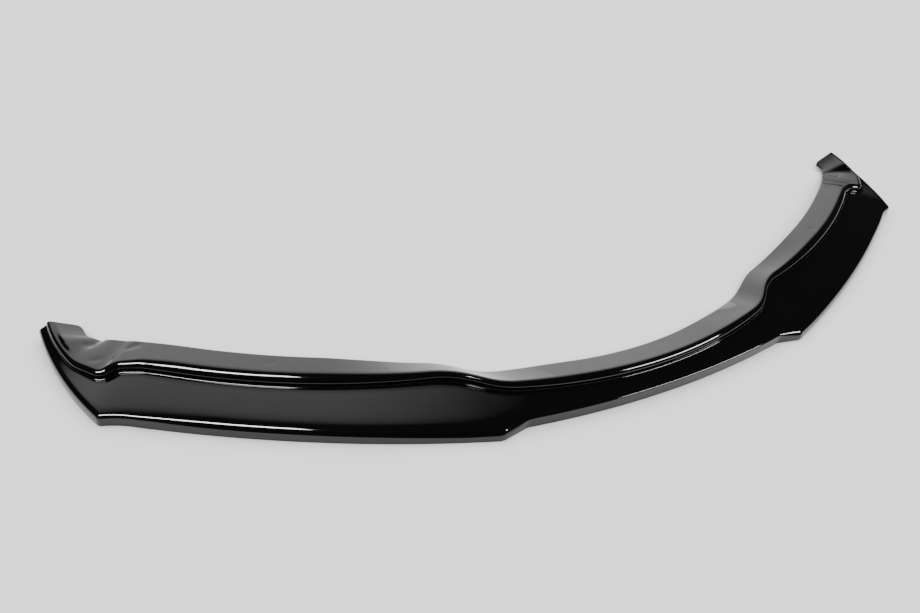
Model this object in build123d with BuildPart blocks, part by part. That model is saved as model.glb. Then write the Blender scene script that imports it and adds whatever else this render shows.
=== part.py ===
"""Front splitter lip: one sheet of gloss black plastic, drawn over a mould and trimmed.

A low rim stands on the ground. A nearly level blade runs back from it to a riser, and above the
riser a flange falls away to the rear, where it tucks under a bumper. The shape is mirrored about x = 0.
"""
import math
import os

from build123d import *

# Sizes in millimetres and angles in degrees. Plan places near the middle are measured from the nose,
# the foremost point of the centre line: x to the side, y to the rear.
sheet = 4.0                     # wall of the formed sheet
half_width = 862.0              # centre line to the outer edge of an ear
depth = 460.0                   # nose to the rear of the ears

# Lip line, the front edge in plan
lip_step_inner = (255.0, 20.0)  # end of the centre run, where the lip stands furthest back
lip_step_outer = (302.0, 11.0)  # start of the wing run
lip_step_round = 22.0
wing_lip_bow = 16.0             # how far the wing's lip bows forward of its chord
end_bow = 11.8                  # how far the end edge bows outward of its chord
tip_round = 9.0

# Flange line, the front edge of the flange in plan
nose_blade = 33.0               # width of the blade on the centre line
flange_step_inner = (271.0, 81.0)
flange_step_outer = (331.0, 133.0)
flange_step_round = 130.0
wing_flange_bow = 24.0
notch_round = 20.0
end_start_round = 60.0
end_flange_bow = 6.0
end_blade = 13.0                # width of the blade outside the flange, at the rear of an ear

# Rear line, the trimmed edge of the flange in plan
nose_flange = 57.0              # width of the flange on the centre line
rear_step_inner = (270.0, 148.0)
rear_step_outer = (345.0, 188.0)
wing_rear_bow = 26.0
ear_round = 9.0

# Plan places near an end, inward and forward of the outer rear corner of the ear
tip_offset = (47.0, 208.0)          # the lip's outer end
hook_offset = (87.0, 225.0)         # where the lip turns straight out towards the tip
notch_start_offset = (120.0, 144.0) # the flange line's notch behind the tip
notch_dip_offset = (91.0, 131.0)
notch_corner_offset = (64.0, 140.0)
end_start_offset = (32.0, 102.0)    # where the flange line turns along the end
ear_root_offset = (63.0, 29.0)      # the ear's inner side
ear_inner_offset = (59.0, 0.0)

# Heights above the ground and tilts of the section
edge_height = 43.0              # front edge of the flange, before it is rounded
end_height = 32.0               # the same edge at the notches
ear_height = 35.0               # the same edge at the rear of an ear
centre_groove_height = 24.0     # foot of the riser
wing_groove_height = 23.0
notch_groove_height = 16.0
ear_groove_height = 20.0
centre_blade_fall = 5.0         # the centre of the blade falls towards the lip
wing_blade_fall = 1.0           # so do the wings, a little
end_blade_rise = 3.0            # the ends of the blade rise towards the lip
centre_flange_fall = 22.0       # the flange falls towards the rear
step_flange_fall = 33.0
wing_flange_fall = 13.5
notch_flange_fall = 9.0
ear_flange_fall = 28.0
twist_length = 245.0            # run along the flange line from the step's tilt to the wing's

# Roundings of the outer surface
edge_round = 9.0
lip_round = 8.0
groove_round = 3.5

# Working allowances, which leave no mark on the finished sheet
wing_splay = 30.0               # the section planes turn outward along the wings
section_count = 32
tuck = 12.0                     # the blade's block reaches this far under the flange
overrun = 15.0                  # blocks run this far past the trimmed edges
block_depth = 30.0
lip_reach = 180.0
rear_reach = 100.0


def from_corner(offsets):
    """The plan place at these offsets from the outer rear corner of the ear."""
    inward, forward = offsets
    return (half_width - inward, depth - forward)


tip = from_corner(tip_offset)
hook_start = from_corner(hook_offset)
notch_start = from_corner(notch_start_offset)
notch_dip = from_corner(notch_dip_offset)
notch_corner = from_corner(notch_corner_offset)
end_start = from_corner(end_start_offset)
ear_root = from_corner(ear_root_offset)
ear_inner = from_corner(ear_inner_offset)
# the lines of an end run on past the rear of the ear, where they are trimmed
lip_stop = (half_width, depth + overrun)
end_stop = (half_width - end_blade, depth + overrun)

# Plan lines of one half
with BuildLine() as lip_line:
    lip_centre = TangentArc((0, 0), lip_step_inner, tangent=(1, 0))
    lip_step = Line(lip_step_inner, lip_step_outer)
    lip_wing = SagittaArc(lip_step_outer, hook_start, -wing_lip_bow)
    lip_hook = TangentArc(hook_start, tip, tangent=lip_wing % 1)
    lip_end = SagittaArc(tip, lip_stop, -end_bow)

with BuildLine() as flange_line:
    edge_centre = TangentArc((0, nose_blade), flange_step_inner, tangent=(1, 0))
    edge_step = Line(flange_step_inner, flange_step_outer)
    edge_wing = SagittaArc(flange_step_outer, notch_start, -wing_flange_bow)
    edge_notch = Polyline(notch_start, notch_dip, notch_corner, end_start)
    edge_end = SagittaArc(end_start, end_stop, -end_flange_bow)

with BuildLine() as rear_line:
    rear_centre = TangentArc((0, nose_blade + nose_flange), rear_step_inner, tangent=(1, 0))
    rear_wing = SagittaArc(rear_step_outer, ear_root, -wing_rear_bow)
    rear_step = Spline(rear_step_inner, rear_step_outer, tangents=(rear_centre % 1, rear_wing % 0))
    ear_side = Line(ear_root, ear_inner)

# What the trimming leaves of one half: everything in front of the rear line
with BuildSketch() as trim_plan:
    with BuildLine():
        add(rear_line.line)
        Polyline(
            (0, nose_blade + nose_flange),
            (0, -overrun),
            (half_width + overrun, -overrun),
            (half_width + overrun, depth),
            ear_inner,
        )
    make_face()
    for corner in (ear_root, ear_inner):
        fillet(trim_plan.vertices().sort_by_distance(corner)[0], radius=ear_round)

# The untrimmed form behind the lip line, and the part of it that is raised behind the flange line
with BuildSketch() as lip_plan:
    with BuildLine():
        add(lip_line.line)
        lip_run = PolarLine(lip_stop, 2 * overrun, direction=lip_end % 1)
        Polyline(lip_run @ 1, (0, (lip_run @ 1).Y), (0, 0))
    make_face()
    for corner in (lip_step_inner, lip_step_outer):
        fillet(lip_plan.vertices().sort_by_distance(corner)[0], radius=lip_step_round)
    fillet(lip_plan.vertices().sort_by_distance(tip)[0], radius=tip_round)
    mirror(about=Plane.YZ)

with BuildSketch() as flange_plan:
    with BuildLine():
        add(flange_line.line)
        flange_run = PolarLine(end_stop, 2 * overrun, direction=edge_end % 1)
        Polyline(flange_run @ 1, (0, (flange_run @ 1).Y), (0, nose_blade))
    make_face()
    for corner in (flange_step_inner, flange_step_outer):
        fillet(flange_plan.vertices().sort_by_distance(corner)[0], radius=flange_step_round)
    for corner in (notch_dip, notch_corner):
        fillet(flange_plan.vertices().sort_by_distance(corner)[0], radius=notch_round)
    for corner in (notch_start, end_start):
        fillet(flange_plan.vertices().sort_by_distance(corner)[0], radius=end_start_round)
    mirror(about=Plane.YZ)

# Places along the flange line, as shares of its length
flange_edge = flange_line.wire()
run = flange_edge.length
at_step_inner = edge_centre.length / run
at_step_outer = at_step_inner + edge_step.length / run
at_step_middle = (at_step_inner + at_step_outer) / 2
at_twist_start = at_step_inner / 2
at_twist_end = at_step_middle + twist_length / run
at_notch = at_step_outer + edge_wing.length / run
at_corner = at_notch + edge_notch.length / run / 2


def blend(at, start, stop):
    """A smooth step from 0 at start to 1 at stop."""
    share = min(max((at - start) / (stop - start), 0), 1)
    return share * share * (3 - 2 * share)


def slope(angle):
    return math.tan(math.radians(angle))


def section_plane(at):
    """An upright plane through the flange line, with its x axis from front to rear."""
    turn = wing_splay * min(at / at_notch, 1) + (90 - wing_splay) * blend(at, at_corner, 1)
    heading = Vector(0, 1, 0).rotate(Axis.Z, turn)
    return Plane(origin=flange_edge @ at, x_dir=heading, z_dir=heading.cross(Vector(0, 0, 1)))


def section_planes():
    """Evenly spaced section planes, with one more beyond each end of the half."""
    places = [i / (section_count - 1) for i in range(section_count)]
    planes = [(at, section_plane(at)) for at in places]
    planes.insert(0, (0, section_plane(0).offset(-overrun)))
    planes.append((1, section_plane(1).offset(overrun)))
    return planes


def flange_block(inset):
    """Everything below the flange's surface, set in by inset."""
    with BuildPart() as block:
        for at, plane in section_planes():
            height = edge_height + (end_height - edge_height) * blend(at, at_notch, at_corner)
            height += (ear_height - end_height) * blend(at, at_corner, 1)
            fall = centre_flange_fall
            fall += (step_flange_fall - centre_flange_fall) * blend(at, at_twist_start, at_step_middle)
            fall += (wing_flange_fall - step_flange_fall) * blend(at, at_step_middle, at_twist_end)
            fall += (notch_flange_fall - wing_flange_fall) * blend(at, at_notch, at_corner)
            fall += (ear_flange_fall - notch_flange_fall) * blend(at, at_corner, 1)
            height -= inset / math.cos(math.radians(fall))
            with BuildSketch(plane):
                with BuildLine():
                    Polyline(
                        (-overrun, height + overrun * slope(fall)),
                        (rear_reach, height - rear_reach * slope(fall)),
                        (rear_reach, -block_depth),
                        (-overrun, -block_depth),
                        close=True,
                    )
                make_face()
        loft()
    return block.part


def blade_block(inset):
    """Everything below the blade's surface, set in by inset, as far as just under the flange."""
    with BuildPart() as block:
        for at, plane in section_planes():
            to_wing = blend(at, at_step_inner, at_step_outer)
            height = centre_groove_height + (wing_groove_height - centre_groove_height) * to_wing
            height += (notch_groove_height - wing_groove_height) * blend(at, at_notch, at_corner)
            height += (ear_groove_height - notch_groove_height) * blend(at, at_corner, 1) - inset
            rise = -centre_blade_fall + (centre_blade_fall - wing_blade_fall) * to_wing
            rise += (wing_blade_fall + end_blade_rise) * blend(at, at_notch, at_corner)
            with BuildSketch(plane):
                with BuildLine():
                    Polyline(
                        (-lip_reach, height + lip_reach * slope(rise)),
                        (tuck, height - tuck * slope(rise)),
                        (tuck, -block_depth),
                        (-lip_reach, -block_depth),
                        close=True,
                    )
                make_face()
        loft()
    return block.part


def set_in(plan, inset):
    """An outline set in all round by inset, redrawn as plain lines and arcs."""
    with BuildSketch() as outline:
        with BuildLine():
            for edge in offset(plan, amount=-inset, mode=Mode.PRIVATE).edges():
                if edge.geom_type == GeomType.LINE:
                    Line(edge @ 0, edge @ 1)
                else:
                    ThreePointArc(edge @ 0, edge @ 0.5, edge @ 1)
        make_face()
    return outline.sketch


def edges_along(part, outline, low, high):
    """The edges that stand over an outline's boundary and run along it, between two heights."""
    boundary = outline.wires()[0]
    found = ShapeList()
    for edge in part.edges():
        middle = edge @ 0.5
        above = boundary.distance_to(Vector(middle.X, middle.Y, 0)) < sheet / 4
        level = edge.bounding_box().size.Z < edge.length / 2
        if above and level and low < middle.Z < high:
            found.append(edge)
    return found


def formed_block(inset):
    """One half of the form as a full block, with its rounded edges, set in by inset."""
    under_flange = flange_block(inset)
    under_blade = blade_block(inset)
    flange_outline = set_in(flange_plan.sketch, inset) if inset else flange_plan.sketch
    lip_outline = set_in(lip_plan.sketch, inset) if inset else lip_plan.sketch
    with BuildPart() as flange:
        with Locations((0, 0, -overrun)):
            add(extrude(flange_outline, amount=edge_height + 2 * overrun, mode=Mode.PRIVATE))
        add(under_flange, mode=Mode.INTERSECT)
    with BuildPart() as block:
        with Locations((0, 0, -overrun)):
            add(extrude(lip_outline, amount=edge_height + 2 * overrun, mode=Mode.PRIVATE))
        add(under_blade, mode=Mode.INTERSECT)
        add(flange.part)
        riser_middle = (centre_groove_height + end_height) / 2 - inset
        fillet(edges_along(block, flange_outline, 0, riser_middle), radius=groove_round + inset)
        fillet(edges_along(block, flange_outline, riser_middle, edge_height), radius=edge_round - inset)
        fillet(edges_along(block, lip_outline, 0, edge_height), radius=lip_round - inset)
    return block.part


outer_block = formed_block(0)
inner_block = formed_block(sheet)
with BuildPart() as whole:
    extrude(trim_plan.sketch, amount=edge_height + overrun)
    add(outer_block, mode=Mode.INTERSECT)
    add(inner_block, mode=Mode.SUBTRACT)
    mirror(about=Plane.YZ)

# The whole lip stands on z = 0 with its origin at the middle of its plan
with BuildPart() as splitter_lip:
    with Locations((0, -depth / 2, 0)):
        add(whole.part)
splitter_lip.part.label = "splitter_lip"

os.makedirs("parts", exist_ok=True)
export_step(splitter_lip.part, "parts/splitter_lip.step")
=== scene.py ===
import math

import bpy
import numpy as np
from mathutils import Matrix, Vector


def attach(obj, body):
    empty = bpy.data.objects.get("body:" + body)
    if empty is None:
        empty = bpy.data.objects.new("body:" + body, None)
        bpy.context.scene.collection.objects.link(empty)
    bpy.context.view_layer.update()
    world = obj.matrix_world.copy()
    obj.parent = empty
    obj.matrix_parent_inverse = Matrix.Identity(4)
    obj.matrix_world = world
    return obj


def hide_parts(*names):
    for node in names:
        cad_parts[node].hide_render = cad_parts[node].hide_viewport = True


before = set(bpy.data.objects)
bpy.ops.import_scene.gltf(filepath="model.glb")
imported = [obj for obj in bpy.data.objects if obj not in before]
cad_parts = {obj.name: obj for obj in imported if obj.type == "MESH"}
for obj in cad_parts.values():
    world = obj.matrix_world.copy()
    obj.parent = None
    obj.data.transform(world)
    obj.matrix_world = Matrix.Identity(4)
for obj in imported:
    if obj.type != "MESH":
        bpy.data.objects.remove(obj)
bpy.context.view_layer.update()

# The lip is one sheet of ABS, heated and drawn down over a mould, then trimmed along the rear.
# Its plan is three lines for each half: the lip in front, the flange's raised edge, and the trimmed
# rear. They are drawn in millimetres from the nose, x to the side and y to the rear.
half_width = 862.0
depth = 460.0
run_on = 15.0                    # the lines of an end go on this far past the trimmed rear
point_spacing = 0.5
corner_reach = 3.0               # a corner's rounding is looked for within this many radii of it

lip_step_inner = (255.0, 20.0)
lip_step_outer = (302.0, 11.0)
lip_step_round = 22.0
hook_start = (half_width - 87.0, depth - 225.0)
wing_lip_bow = 16.0
tip = (half_width - 47.0, depth - 208.0)
tip_round = 9.0
end_bow = 11.8
lip_stop = (half_width, depth + run_on)

flange_nose = (0.0, 33.0)
flange_step_inner = (271.0, 81.0)
flange_step_outer = (331.0, 133.0)
flange_step_round = 130.0
wing_flange_bow = 24.0
notch_start = (half_width - 120.0, depth - 144.0)
notch_dip = (half_width - 91.0, depth - 131.0)
notch_corner = (half_width - 64.0, depth - 140.0)
notch_round = 20.0
end_start = (half_width - 32.0, depth - 102.0)
end_start_round = 60.0
end_flange_bow = 6.0
end_stop = (half_width - 13.0, depth + run_on)

rear_nose = (0.0, 90.0)
rear_step_inner = (270.0, 148.0)
rear_step_outer = (345.0, 188.0)
wing_rear_bow = 26.0
ear_root = (half_width - 63.0, depth - 29.0)
ear_inner = (half_width - 59.0, depth)
ear_round = 9.0


def bowed(start, stop, bow=0.0):
    """Points along an arc that stands bow to the right of its chord."""
    start, stop = np.array(start), np.array(stop)
    chord = stop - start
    length = np.hypot(*chord)
    share = np.linspace(0, 1, int(length / point_spacing) + 2)
    if bow == 0:
        return start + share[:, None] * chord
    half_turn = 2 * math.atan(2 * bow / length)
    radius = length / 2 / math.sin(half_turn)
    along = chord / length
    rightward = np.array((along[1], -along[0]))
    angle = (2 * share - 1) * half_turn
    across = radius * (np.cos(angle) - math.cos(half_turn))
    return (start + stop) / 2 + np.outer(radius * np.sin(angle), along) + np.outer(across, rightward)


def leaving(start, stop, heading):
    """Points along an arc that leaves its start along a heading."""
    chord = np.array(stop) - np.array(start)
    length = np.hypot(*chord)
    sine = (heading[0] * chord[1] - heading[1] * chord[0]) / np.hypot(*heading) / length
    return bowed(start, stop, length / 2 * math.tan(math.asin(sine) / 2))


def unit_steps(line):
    """The unit heading of a run of points at each of its points."""
    steps = np.gradient(line, axis=0)
    return steps / np.hypot(steps[:, 0], steps[:, 1])[:, None]


def eased(before, after):
    """Points from the end of one run to the start of the next, in line with both."""
    start, stop = before[-1], after[0]
    length = np.hypot(*(stop - start))
    t = np.linspace(0, 1, int(length / point_spacing) + 2)[1:-1, None]
    leave, arrive = length * unit_steps(before)[-1], length * unit_steps(after)[0]
    return ((2 * t ** 3 - 3 * t ** 2 + 1) * start + (t ** 3 - 2 * t ** 2 + t) * leave
            + (3 * t ** 2 - 2 * t ** 3) * stop + (t ** 3 - t ** 2) * arrive)


def rounded(before, after, radius):
    """Two runs of points with their corner rounded."""
    into, out = unit_steps(before)[-1], unit_steps(after)[0]
    side = np.sign(into[0] * out[1] - into[1] * out[0])

    def shifted(line):
        steps = unit_steps(line)
        return line + radius * side * np.stack([-steps[:, 1], steps[:, 0]], axis=1)

    reach = int(corner_reach * radius / point_spacing)
    first, second = shifted(before)[-reach:], shifted(after)[:reach]
    gaps = np.hypot(*(first[:, None, :] - second[None, :, :]).transpose(2, 0, 1))
    leave, meet = np.unravel_index(np.argmin(gaps), gaps.shape)
    leave += len(before) - len(first)
    length = np.hypot(*(after[meet] - before[leave]))
    sagitta = radius - math.sqrt(radius ** 2 - length ** 2 / 4)
    arc = bowed(before[leave], after[meet], side * sagitta)
    return np.concatenate([before[:leave], arc, after[meet + 1:]])


lip_wing = bowed(lip_step_outer, hook_start, wing_lip_bow)
lip_hook = leaving(hook_start, tip, unit_steps(lip_wing)[-1])
lip_line = leaving((0.0, 0.0), lip_step_inner, (1.0, 0.0))
for lip_run, corner_round in (
    (bowed(lip_step_inner, lip_step_outer), lip_step_round),
    (np.concatenate([lip_wing, lip_hook[1:]]), lip_step_round),
    (bowed(tip, lip_stop, end_bow), tip_round),
):
    lip_line = rounded(lip_line, lip_run, corner_round)

flange_centre = leaving(flange_nose, flange_step_inner, (1.0, 0.0))
flange_step = bowed(flange_step_inner, flange_step_outer)
flange_wing = bowed(flange_step_outer, notch_start, wing_flange_bow)
flange_notch = [
    bowed(notch_start, notch_dip),
    bowed(notch_dip, notch_corner),
    bowed(notch_corner, end_start),
]
flange_end = bowed(end_start, end_stop, end_flange_bow)
flange_course = np.concatenate([flange_centre, flange_step, flange_wing, *flange_notch, flange_end])
flange_line = flange_centre
for flange_run, corner_round in (
    (flange_step, flange_step_round),
    (flange_wing, flange_step_round),
    (flange_notch[0], end_start_round),
    (flange_notch[1], notch_round),
    (flange_notch[2], notch_round),
    (flange_end, end_start_round),
):
    flange_line = rounded(flange_line, flange_run, corner_round)

rear_centre = leaving(rear_nose, rear_step_inner, (1.0, 0.0))
rear_wing = bowed(rear_step_outer, ear_root, wing_rear_bow)
rear_line = np.concatenate([rear_centre, eased(rear_centre, rear_wing), rear_wing])
rear_line = rounded(rear_line, bowed(ear_root, ear_inner), ear_round)
rear_line = rounded(rear_line, bowed(ear_inner, (half_width + run_on, depth)), ear_round)

# The heights and tilts of the section change along the flange's edge: the flange twists at each
# step, drops behind each notch, and falls steeply across each ear. The blade falls a little towards
# the lip, most in the middle. Each value is worked out at a share of the way from the nose to the end.
edge_height, end_height, ear_height = 43.0, 32.0, 35.0
centre_groove, wing_groove, notch_groove, ear_groove = 24.0, 23.0, 18.5, 27.0
centre_rise, wing_rise, end_lip_height = -5.0, -1.0, 20.0
notch_lead, notch_trail = 55.0, 20.0     # the drop starts before the notch and ends past its corner
centre_fall, step_fall, wing_fall, notch_fall, ear_fall = 22.0, 33.0, 13.5, 9.0, 28.0
twist_length = 245.0
wing_splay = 30.0

course_steps = np.hypot(*np.diff(flange_course, axis=0).T)
course_share = np.concatenate([[0.0], np.cumsum(course_steps)])
course_length = course_share[-1]
course_share /= course_length


def run_length(run):
    return np.hypot(*np.diff(run, axis=0).T).sum()


at_step_inner = run_length(flange_centre) / course_length
at_step_outer = at_step_inner + run_length(flange_step) / course_length
at_step_middle = (at_step_inner + at_step_outer) / 2
at_twist_start = at_step_inner / 2
at_twist_end = at_step_middle + twist_length / course_length
at_notch = at_step_outer + run_length(flange_wing) / course_length
at_corner = at_notch + sum(run_length(run) for run in flange_notch) / course_length / 2
at_end_start = 1 - run_length(flange_end) / course_length
at_rear = np.interp(depth, flange_end[:, 1], np.linspace(at_end_start, 1, len(flange_end)))


def blend(at, start, stop):
    """A smooth step from 0 at start to 1 at stop."""
    share = np.clip((at - start) / (stop - start), 0, 1)
    return share * share * (3 - 2 * share)


def section_origin(at):
    """Where the section at a share of the way stands on the flange's course."""
    return np.stack([np.interp(at, course_share, flange_course[:, i]) for i in (0, 1)], axis=-1)


def section_heading(at):
    """The section's unit heading in plan, from front to rear."""
    turn = wing_splay * np.minimum(at / at_notch, 1) + (90 - wing_splay) * blend(at, at_corner, at_rear)
    turn = np.radians(turn)
    return np.stack([-np.sin(turn), np.cos(turn)], axis=-1)


def crossings(line, origins, headings):
    """Where each section's line crosses a plan line, and the plan line's unit heading there."""
    steps = unit_steps(line)
    points, courses = [], []
    for origin, heading in zip(origins, headings):
        away = line - origin
        off = heading[0] * away[:, 1] - heading[1] * away[:, 0]
        changes = np.nonzero(off[:-1] * off[1:] <= 0)[0]
        nearest = changes[np.argmin(np.abs(away[changes] @ heading))]
        share = off[nearest] / (off[nearest] - off[nearest + 1])
        points.append(line[nearest] * (1 - share) + line[nearest + 1] * share)
        course = steps[nearest] * (1 - share) + steps[nearest + 1] * share
        courses.append(course / np.hypot(*course))
    return np.array(points), np.array(courses)


# The sections stand closer together where the plan lines turn.
rung_count, trial_count = 330, 1500
turn_travel = 40.0               # a turn of one radian counts as this much travel
trial_at = np.linspace(0, at_rear, trial_count)
trial_origins, trial_headings = section_origin(trial_at), section_heading(trial_at)
travel = np.zeros(len(trial_at))
for plan_line in (lip_line, flange_line, rear_line):
    met, courses = crossings(plan_line, trial_origins, trial_headings)
    moved = np.hypot(*np.diff(met, axis=0).T)
    turned = np.abs(np.diff(np.unwrap(np.arctan2(courses[:, 1], courses[:, 0]))))
    travel[1:] += np.cumsum(moved + turn_travel * turned)
rung_at = np.interp(np.linspace(0, travel[-1], rung_count), travel, trial_at)
origins, headings = section_origin(rung_at), section_heading(rung_at)
lip_feet, lip_courses = crossings(lip_line, origins, headings)
edge_feet, edge_courses = crossings(flange_line, origins, headings)
rear_feet = crossings(rear_line, origins, headings)[0]


def facing(courses):
    """Unit headings that face outward from a plan line."""
    return np.stack([courses[:, 1], -courses[:, 0]], axis=1)


to_wing = blend(rung_at, at_step_inner, at_step_outer)
to_ear = blend(rung_at, at_corner, 1)
into_notch = blend(
    rung_at, at_notch - notch_lead / course_length, at_corner + notch_trail / course_length
)
edge_heights = (
    edge_height + (end_height - edge_height) * into_notch + (ear_height - end_height) * to_ear
)
into_twist = blend(rung_at, at_twist_start, at_step_middle)
out_of_twist = blend(rung_at, at_step_middle, at_twist_end)
falls = centre_fall + (step_fall - centre_fall) * into_twist + (wing_fall - step_fall) * out_of_twist
falls += (notch_fall - wing_fall) * into_notch + (ear_fall - notch_fall) * to_ear
groove_heights = centre_groove + (wing_groove - centre_groove) * to_wing
groove_heights += (notch_groove - wing_groove) * into_notch + (ear_groove - notch_groove) * to_ear


def slope(angle):
    return np.tan(np.radians(angle))


def row_dot(one, other):
    return (one * other).sum(axis=1)


blade_widths = row_dot(origins - lip_feet, headings)
blade_rises = centre_rise + (wing_rise - centre_rise) * blend(rung_at, at_twist_start, at_twist_end)
blade_slopes = slope(blade_rises) * (1 - into_notch)
blade_slopes += (end_lip_height - groove_heights) / blade_widths * into_notch

# The skin of the sheet follows one profile at each section: up the rim, round the lip, back along the
# blade, round the groove, up the riser, over the flange's edge and down the flange to the trimmed
# rear. The underside follows the same profile, set in by the wall. Cut edges are lightly scraped.
wall = 4.0
centre_lip_round, wing_lip_round, end_lip_round = 3.0, 13.0, 8.0
lip_widens, lip_widened = 0.85, 1.05     # shares of the way to the flange's step: the lip grows rounder
lip_narrows = 0.12                       # share of the course before the notch: it grows sharper again
crown_slope, crown_reach = 3.5, 14.0     # the blade bends down this much before it meets the lip
centre_edge_round, step_edge_round, wing_edge_round = 10.0, 7.0, 14.0
notch_edge_round, ear_edge_round = 8.0, 4.2
groove_round, ear_groove_round = 2.7, 3.0
least_round = 0.8
scraped = 0.5
rim_points, lip_points, blade_points, groove_points = 3, 9, 6, 8
riser_points, edge_points, flange_points, trim_points = 2, 10, 26, 2

# Along each ear's outer edge the flange keeps a flat strip, which steps down into a dished ear.
strip_width, strip_step = 9.5, 2.0
strip_fall, dish_fall = 24.0, 28.5
strip_crease = 1.5
strip_formed = 0.6                       # the strip is fully formed at this share of the ear's length
strip = blend(rung_at, at_end_start, at_end_start + strip_formed * (at_rear - at_end_start))
at_lip_step = lip_widens * at_step_inner, lip_widened * at_step_inner
lip_rounds = centre_lip_round + (wing_lip_round - centre_lip_round) * blend(rung_at, *at_lip_step)
lip_rounds += (end_lip_round - wing_lip_round) * blend(rung_at, at_notch - lip_narrows, at_notch)
edge_rounds = centre_edge_round + (step_edge_round - centre_edge_round) * into_twist
edge_rounds += (wing_edge_round - step_edge_round) * out_of_twist
edge_rounds += (
    (notch_edge_round - wing_edge_round) * into_notch + (ear_edge_round - notch_edge_round) * to_ear
)
groove_rounds = groove_round + (ear_groove_round - groove_round) * to_ear


def past(distance):
    """How far a distance lies past zero, with a rounded start."""
    return (distance + np.sqrt(distance ** 2 + strip_crease ** 2)) / 2


ear_width = row_dot(rear_feet - edge_feet, headings)
strip_slope = slope(falls) * (1 - strip) + slope(strip_fall) * strip
dish_slope = slope(falls) * (1 - strip) + slope(dish_fall) * strip
step_slope = ear_width * slope(falls) - strip_width * strip_slope
step_slope -= (ear_width - strip_width - strip_step) * dish_slope
step_slope = strip_slope + strip * (step_slope / strip_step - strip_slope)
crown_slopes = slope(crown_slope) * (1 - into_notch)


def skin(inset, scrape):
    """The profile at every section, set in by inset, as an array of sections by points."""
    lip_out, edge_out = facing(lip_courses), facing(edge_courses)
    lip_foot = lip_feet - inset * lip_out
    edge_foot = edge_feet - inset * edge_out
    lip_radius, groove_radius = lip_rounds - inset, groove_rounds + inset
    edge_radius = np.maximum(edge_rounds - inset, least_round)
    points = []

    def blade_z(plan):
        from_round = row_dot(lip_feet - plan, lip_out) - lip_rounds
        bend = np.clip(crown_reach - from_round, 0, crown_reach)
        crown = bend ** 2 / (2 * crown_reach) - np.minimum(from_round, 0)
        fall = row_dot(plan - origins, headings) * blade_slopes
        return groove_heights - inset - fall - crown * crown_slopes

    def flange_z(plan):
        behind = row_dot(plan - edge_feet, headings)
        drop = behind * strip_slope + past(behind - strip_width) * (step_slope - strip_slope)
        drop += past(behind - strip_width - strip_step) * (dish_slope - step_slope)
        return edge_heights - inset / np.cos(np.radians(falls)) - drop

    def put(plan, height):
        points.append(np.concatenate([plan, height[:, None]], axis=1))

    def put_arc(plan, height, outward, radius, start, stop, count):
        for share in np.linspace(0, 1, count):
            angle = start + (stop - start) * share
            put(plan + (radius * np.cos(angle))[:, None] * outward, height + radius * np.sin(angle))

    def put_run(start, stop, surface, count):
        for share in np.linspace(0, 1, count + 2)[1:-1]:
            plan = start + (stop - start) * share
            put(plan, surface(plan))

    lip_centre = lip_foot - lip_radius[:, None] * lip_out
    lip_slope = blade_z(lip_foot - lip_out) - blade_z(lip_foot)
    lip_height = blade_z(lip_centre) - lip_radius * np.hypot(1, lip_slope)
    put(lip_foot - scrape * lip_out, np.zeros(rung_count))
    for share in np.linspace(0, 1, rim_points)[:-1]:
        put(lip_foot, scraped + (lip_height - scraped) * share)
    lip_stop_angle = math.pi / 2 - np.arctan(lip_slope)
    put_arc(lip_centre, lip_height, lip_out, lip_radius, 0, lip_stop_angle, lip_points)

    groove_centre = edge_foot + groove_radius[:, None] * edge_out
    groove_slope = blade_z(edge_foot + edge_out) - blade_z(edge_foot)
    groove_height = blade_z(groove_centre) + groove_radius * np.hypot(1, groove_slope)
    groove_turn = -math.pi / 2 + np.arctan(groove_slope)
    groove_front = groove_centre + (groove_radius * np.cos(groove_turn))[:, None] * edge_out
    put_run(points[-1][:, :2], groove_front, blade_z, blade_points)
    put_arc(groove_centre, groove_height, edge_out, groove_radius, groove_turn, -math.pi, groove_points)

    edge_centre = edge_foot - edge_radius[:, None] * edge_out
    edge_slope = flange_z(edge_foot + edge_out) - flange_z(edge_foot)
    edge_top = flange_z(edge_centre) - edge_radius * np.hypot(1, edge_slope)
    for share in np.linspace(0, 1, riser_points + 2)[1:-1]:
        put(edge_foot, groove_height + (edge_top - groove_height) * share)
    edge_stop_angle = math.pi / 2 + np.arctan(edge_slope)
    put_arc(edge_centre, edge_top, edge_out, edge_radius, 0, edge_stop_angle, edge_points)
    trimmed = rear_feet - abs(scrape) * headings
    put_run(points[-1][:, :2], trimmed, flange_z, flange_points)
    put(trimmed, flange_z(trimmed))
    put(rear_feet, flange_z(rear_feet) - scrape)
    return np.stack(points, axis=1)


outer, inner = skin(0.0, scraped), skin(wall, -scraped)
loop = np.concatenate([outer, inner[:, ::-1]], axis=1)
loop[-1, :, 1] = depth
loop = np.concatenate([loop[:0:-1] * np.array((-1.0, 1.0, 1.0)), loop])

# The drawing left shallow dents and folds in the flange, mostly behind the notches, and they differ
# from side to side. Each is pressed in along a short line: its two ends, its reach and its depth.
pressed = (
    ((-803.0, 402.0), (-797.0, 404.0), 7.0, 1.3),
    ((-748.0, 367.0), (-738.0, 369.0), 7.0, 1.3),
    ((-800.0, 357.0), (-794.0, 358.0), 6.0, 1.0),
    ((-790.0, 332.0), (-777.0, 349.0), 4.0, 0.4),
    ((-572.0, 254.0), (-567.0, 255.0), 7.0, 0.3),
    ((779.0, 411.0), (790.0, 386.0), 4.5, 0.9),
    ((748.0, 388.0), (786.0, 346.0), 4.5, 1.0),
    ((718.0, 362.0), (738.0, 340.0), 6.0, -0.8),
    ((31.0, 77.0), (36.0, 78.0), 7.0, 0.3),
    ((539.0, 231.0), (543.0, 231.0), 6.0, 0.4),
)
profile_total = outer.shape[1]
flange_reach = flange_points + trim_points
flange_part = loop[:, profile_total - flange_reach:profile_total + flange_reach]
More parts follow.
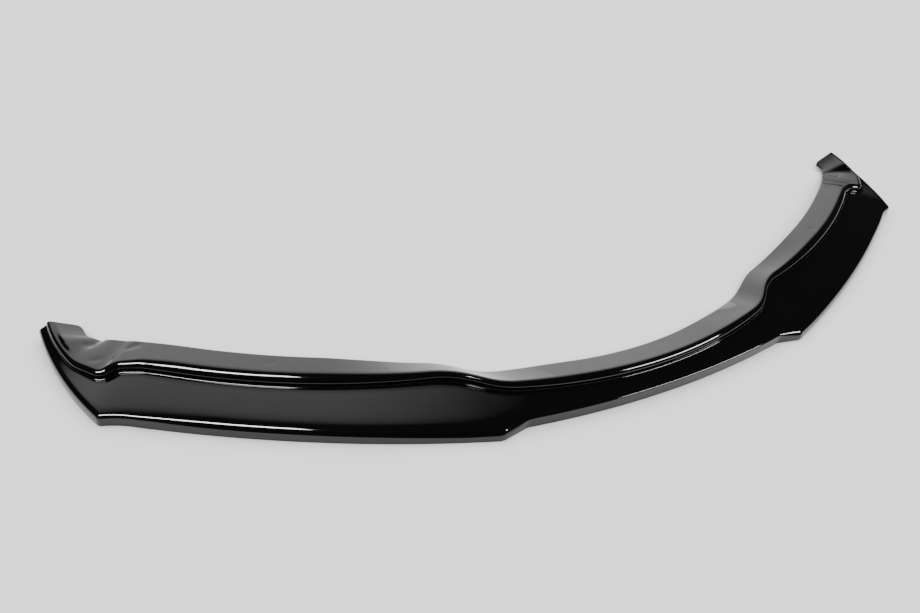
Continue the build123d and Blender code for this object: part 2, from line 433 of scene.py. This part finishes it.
for start, stop, reach, press in pressed:
    start, along = np.array(start), np.array(stop) - np.array(start)
    share = np.clip((flange_part[:, :, :2] - start) @ along / (along @ along), 0, 1)
    away = flange_part[:, :, :2] - start - share[:, :, None] * along
    flange_part[:, :, 2] -= press * np.exp(-(away ** 2).sum(axis=2) / reach ** 2)
loop[:, :, 1] = np.minimum(loop[:, :, 1], depth) - depth / 2
loop[:, :, 2] = np.maximum(loop[:, :, 2], 0)
mm_in_a_metre = 1000
loop /= mm_in_a_metre

sharp_angle = math.radians(40)           # the cut edges are sharper than this and stay crisp
section_total, loop_total = loop.shape[:2]
faces, cut = [], []
for i in range(section_total - 1):
    here, there = i * loop_total, (i + 1) * loop_total
    for j in range(loop_total):
        k = (j + 1) % loop_total
        faces.append((here + j, there + j, there + k, here + k))
        cut.append(j >= profile_total - 1)
last = (section_total - 1) * loop_total
for j in range(profile_total - 1):
    k = loop_total - 1 - j
    faces.append((j, j + 1, k - 1, k))
    faces.append((last + k, last + k - 1, last + j + 1, last + j))
    cut += [True, True]
sheet_mesh = bpy.data.meshes.new("formed_sheet")
sheet_mesh.from_pydata(loop.reshape(-1, 3).tolist(), [], faces)
sheet_mesh.shade_smooth()
sheet_mesh.set_sharp_from_angle(angle=sharp_angle)
formed_sheet = bpy.data.objects.new("formed_sheet", sheet_mesh)
bpy.context.collection.objects.link(formed_sheet)
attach(formed_sheet, "root")
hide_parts("splitter_lip")


# The show face is gloss black ABS: sharp reflections over an almost black body, which waver a little
# because the hot sheet never copies the mould quite flat.
def linear(hex_colour):
    """An sRGB hex colour as linear RGBA."""
    channels = [int(hex_colour[i:i + 2], 16) / 255 for i in (1, 3, 5)]
    return [c / 12.92 if c <= 0.04045 else ((c + 0.055) / 1.055) ** 2.4 for c in channels] + [1.0]


def add_node(tree, kind, **inputs):
    """A new node. Each input is named for its socket, and is a value or the output to link to it."""
    node = tree.nodes.new(kind)
    for name, value in inputs.items():
        socket = node.inputs[name.replace("_", " ")]
        if isinstance(value, bpy.types.NodeSocket):
            tree.links.new(value, socket)
        else:
            socket.default_value = value
    return node


abs_ior = 1.53
gloss_abs = bpy.data.materials.new("gloss_black_abs")
gloss_abs.use_nodes = True
gloss_tree = gloss_abs.node_tree
gloss = gloss_tree.nodes["Principled BSDF"]
gloss.inputs["Base Color"].default_value = linear("#060607")
gloss.inputs["Roughness"].default_value = 0.05
gloss.inputs["IOR"].default_value = abs_ior
waver_width, waver_height = 40.0, 0.04
gloss_place = add_node(gloss_tree, "ShaderNodeTexCoord")
waver = add_node(gloss_tree, "ShaderNodeTexNoise", Vector=gloss_place.outputs["Object"],
                 Scale=mm_in_a_metre / waver_width, Detail=1.0)
swell = add_node(gloss_tree, "ShaderNodeBump", Height=waver.outputs["Fac"], Strength=1.0,
                 Distance=waver_height / mm_in_a_metre)
gloss_tree.links.new(swell.outputs["Normal"], gloss.inputs["Normal"])

# The underside and the trimmed edges are the sheet's bare back, left as it was made: satin black, with
# a dull sheen and a fine grain.
satin_abs = bpy.data.materials.new("satin_black_abs")
satin_abs.use_nodes = True
satin_tree = satin_abs.node_tree
satin = satin_tree.nodes["Principled BSDF"]
satin.inputs["Base Color"].default_value = linear("#141415")
satin.inputs["Roughness"].default_value = 0.45
satin.inputs["IOR"].default_value = abs_ior
grain_width, grain_height = 0.9, 0.03
back_place = add_node(satin_tree, "ShaderNodeTexCoord")
grain = add_node(satin_tree, "ShaderNodeTexNoise", Vector=back_place.outputs["Object"],
                 Scale=mm_in_a_metre / grain_width, Detail=2.0)
grain_bump = add_node(satin_tree, "ShaderNodeBump", Height=grain.outputs["Fac"], Strength=1.0,
                      Distance=grain_height / mm_in_a_metre)
satin_tree.links.new(grain_bump.outputs["Normal"], satin.inputs["Normal"])

sheet_mesh.materials.append(gloss_abs)
sheet_mesh.materials.append(satin_abs)
sheet_mesh.polygons.foreach_set("material_index", cut)

# The floor is plain white card, matt and evenly bright. It fills the photograph's frame and ends far
# behind the lip, which shows only in views from a low angle. From here on, sizes are in metres.
floor_size = 40.0
bpy.ops.mesh.primitive_plane_add(size=floor_size)
floor = bpy.context.object
floor.name = "floor"
white_card = bpy.data.materials.new("white_card")
white_card.use_nodes = True
card_shader = white_card.node_tree.nodes["Principled BSDF"]
card_shader.inputs["Base Color"].default_value = linear("#f4f4f4")
card_shader.inputs["Roughness"].default_value = 0.9
card_shader.inputs["Specular IOR Level"].default_value = 0.0
floor.data.materials.append(white_card)

# The room is dark but for one large white reflector behind the lip, a little to the right, round and
# soft at its edge. The flange and the left of the blade mirror it. It is about as bright as the floor,
# so that no horizon shows on the flange.
reflector_azimuth, reflector_elevation = math.radians(18), math.radians(20)
reflector_full, reflector_none = math.radians(23), math.radians(39)
reflector_level, room_level = 1.55, 0.03
reflector = Vector((
    math.sin(reflector_azimuth) * math.cos(reflector_elevation),
    math.cos(reflector_azimuth) * math.cos(reflector_elevation),
    math.sin(reflector_elevation),
))
room = bpy.data.worlds.new("studio")
bpy.context.scene.world = room
room.use_nodes = True
room_tree = room.node_tree
direction = add_node(room_tree, "ShaderNodeTexCoord")
toward = add_node(room_tree, "ShaderNodeVectorMath", Vector=direction.outputs["Generated"])
toward.operation = "DOT_PRODUCT"
toward.inputs[1].default_value = reflector
level = add_node(room_tree, "ShaderNodeMapRange", Value=toward.outputs["Value"],
                 From_Min=math.cos(reflector_none), From_Max=math.cos(reflector_full),
                 To_Min=room_level, To_Max=reflector_level)
backdrop = room_tree.nodes["Background"]
backdrop.inputs["Color"].default_value = linear("#ffffff")
room_tree.links.new(level.outputs["Result"], backdrop.inputs["Strength"])


# Two softboxes, one high on the left and one in front on the right, draw the bright lines along the
# lip, the groove and the flange's edge. A wide ceiling light evens out the floor and isn't mirrored.
def softbox(name, place, aim, long_axis, size, radiance):
    """A rectangular lamp that faces a point, with its long side along an axis."""
    lamp = bpy.data.lights.new(name, "AREA")
    lamp.shape = "RECTANGLE"
    lamp.size, lamp.size_y = size
    lamp.energy = radiance * math.pi * size[0] * size[1]
    box = bpy.data.objects.new(name, lamp)
    back = (Vector(place) - Vector(aim)).normalized()
    side = Vector(long_axis)
    side = (side - side.dot(back) * back).normalized()
    turn = Matrix((side, back.cross(side), back)).transposed().to_4x4()
    box.matrix_world = Matrix.Translation(Vector(place)) @ turn
    bpy.context.collection.objects.link(box)
    return box


left_box = softbox(
    "left_softbox", place=(-1.54, -0.32, 2.0), aim=(-0.65, 0.0, 0.0), long_axis=(0.982, -0.185, 0.0),
    size=(1.3, 0.45), radiance=60.0,
)
left_box.visible_diffuse = False
right_box = softbox(
    "right_softbox", place=(1.43, -1.37, 1.24), aim=(0.05, -0.2, 0.0), long_axis=(0.68, 0.35, -0.2),
    size=(1.15, 0.35), radiance=40.0,
)
right_box.visible_diffuse = False
ceiling = softbox(
    "ceiling_light", place=(0.0, 0.5, 5.0), aim=(0.0, 0.5, 0.0), long_axis=(1.0, 0.0, 0.0),
    size=(20.0, 20.0), radiance=2.05,
)
ceiling.visible_glossy = False

# The camera stands where the photograph was taken and is tilted as it was, for a frame of 920 by 613
# pixels. Its place, angles and focal length were fitted to the photograph.
camera_place = Vector((-0.817, -0.858, 0.920))
azimuth = math.radians(32.638)
elevation = math.radians(39.742)
roll = math.radians(7.805)
focal_px = 836.7
image_width = 920
sensor_width = 36.0
forward = Vector((
    math.sin(azimuth) * math.cos(elevation),
    math.cos(azimuth) * math.cos(elevation),
    -math.sin(elevation),
))
flat = Vector((math.cos(azimuth), -math.sin(azimuth), 0.0))
upright = flat.cross(forward)
right = math.cos(roll) * flat + math.sin(roll) * upright
up = -math.sin(roll) * flat + math.cos(roll) * upright
camera_data = bpy.data.cameras.new("camera")
camera_data.sensor_width = sensor_width
camera_data.lens = focal_px / image_width * sensor_width
camera = bpy.data.objects.new("camera", camera_data)
bpy.context.collection.objects.link(camera)
turn = Matrix((right, up, -forward)).transposed().to_4x4()
camera.matrix_world = Matrix.Translation(camera_place) @ turn
bpy.context.scene.camera = camera
